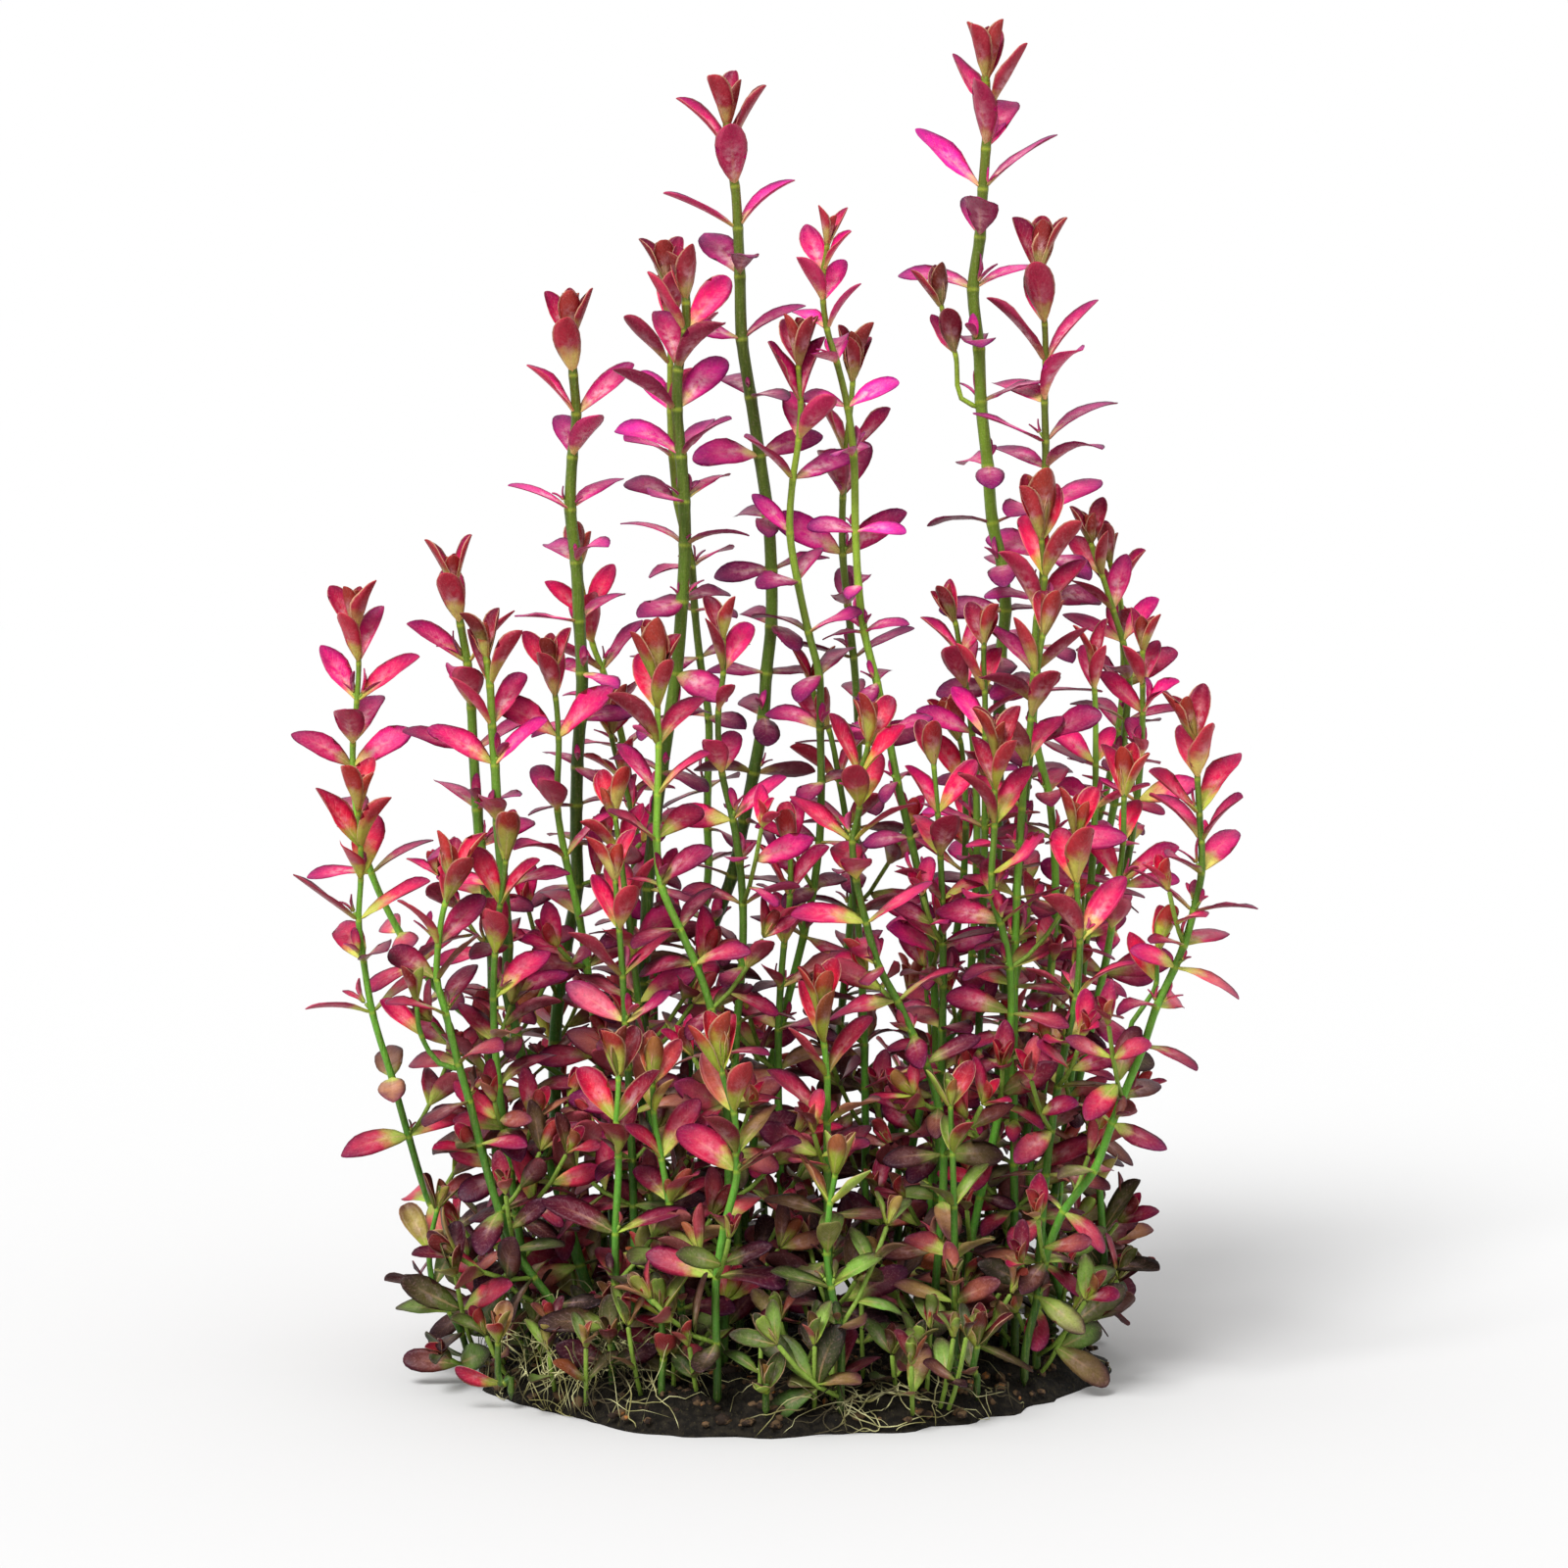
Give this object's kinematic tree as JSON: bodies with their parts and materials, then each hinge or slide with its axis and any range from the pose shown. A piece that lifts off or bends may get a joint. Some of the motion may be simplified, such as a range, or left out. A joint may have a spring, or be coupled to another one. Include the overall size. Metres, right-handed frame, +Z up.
{
  "type": "florida rotala ramosior plant clump",
  "caption": "Aquarium stem plant clump: upright shoots with pairs of narrow red and pink leaves, grown together from a low mat of roots that is cut off flat underneath",
  "frame": {"origin": "the middle of the root mat's flat underside, where the plant is cut off from the ground", "axes": "+Z up along the shoots, -Y the side that the picture shows, +X to its right"},
  "size_m": [0.1889, 0.1308, 0.2781],
  "materials": {
    "leafy_shoot": "satin leaf, crimson to magenta above and dark maroon and green low down",
    "matted_roots": "matte dark roots and soil crumbs"
  },
  "bodies": {
    "root": {"root_mat": "matted_roots", "left_shoot_1": "leafy_shoot", "left_shoot_2": "leafy_shoot", "left_shoot_3": "leafy_shoot", "left_shoot_4": "leafy_shoot", "left_shoot_5": "leafy_shoot", "left_shoot_6": "leafy_shoot", "left_shoot_7": "leafy_shoot", "left_shoot_8": "leafy_shoot", "left_shoot_9": "leafy_shoot", "left_shoot_10": "leafy_shoot", "left_shoot_11": "leafy_shoot", "left_shoot_12": "leafy_shoot", "left_low_shoot_1": "leafy_shoot", "left_low_shoot_2": "leafy_shoot", "middle_shoot_1": "leafy_shoot", "middle_shoot_2": "leafy_shoot", "middle_shoot_3": "leafy_shoot", "middle_shoot_4": "leafy_shoot", "middle_shoot_5": "leafy_shoot", "middle_shoot_6": "leafy_shoot", "middle_shoot_7": "leafy_shoot", "middle_shoot_8": "leafy_shoot", "middle_shoot_9": "leafy_shoot", "middle_shoot_10": "leafy_shoot", "middle_shoot_11": "leafy_shoot", "middle_shoot_12": "leafy_shoot", "right_shoot_1": "leafy_shoot", "right_shoot_2": "leafy_shoot", "right_shoot_3": "leafy_shoot", "right_shoot_4": "leafy_shoot", "right_shoot_5": "leafy_shoot", "right_shoot_6": "leafy_shoot", "right_shoot_7": "leafy_shoot", "right_shoot_8": "leafy_shoot", "right_shoot_9": "leafy_shoot", "right_shoot_10": "leafy_shoot", "right_shoot_11": "leafy_shoot", "right_shoot_12": "leafy_shoot", "right_shoot_13": "leafy_shoot", "right_shoot_14": "leafy_shoot", "right_shoot_15": "leafy_shoot", "right_shoot_16": "leafy_shoot", "right_shoot_17": "leafy_shoot", "right_low_shoot": "leafy_shoot", "front_shoot_1": "leafy_shoot", "front_shoot_2": "leafy_shoot", "front_shoot_3": "leafy_shoot", "front_shoot_4": "leafy_shoot", "front_shoot_5": "leafy_shoot", "front_low_shoot_1": "leafy_shoot", "front_low_shoot_2": "leafy_shoot", "front_low_shoot_3": "leafy_shoot", "back_shoot_1": "leafy_shoot", "back_shoot_2": "leafy_shoot", "back_shoot_3": "leafy_shoot", "right_branch_1": "leafy_shoot", "left_branch": "leafy_shoot", "right_branch_2": "leafy_shoot"}
  },
  "joints": []
}
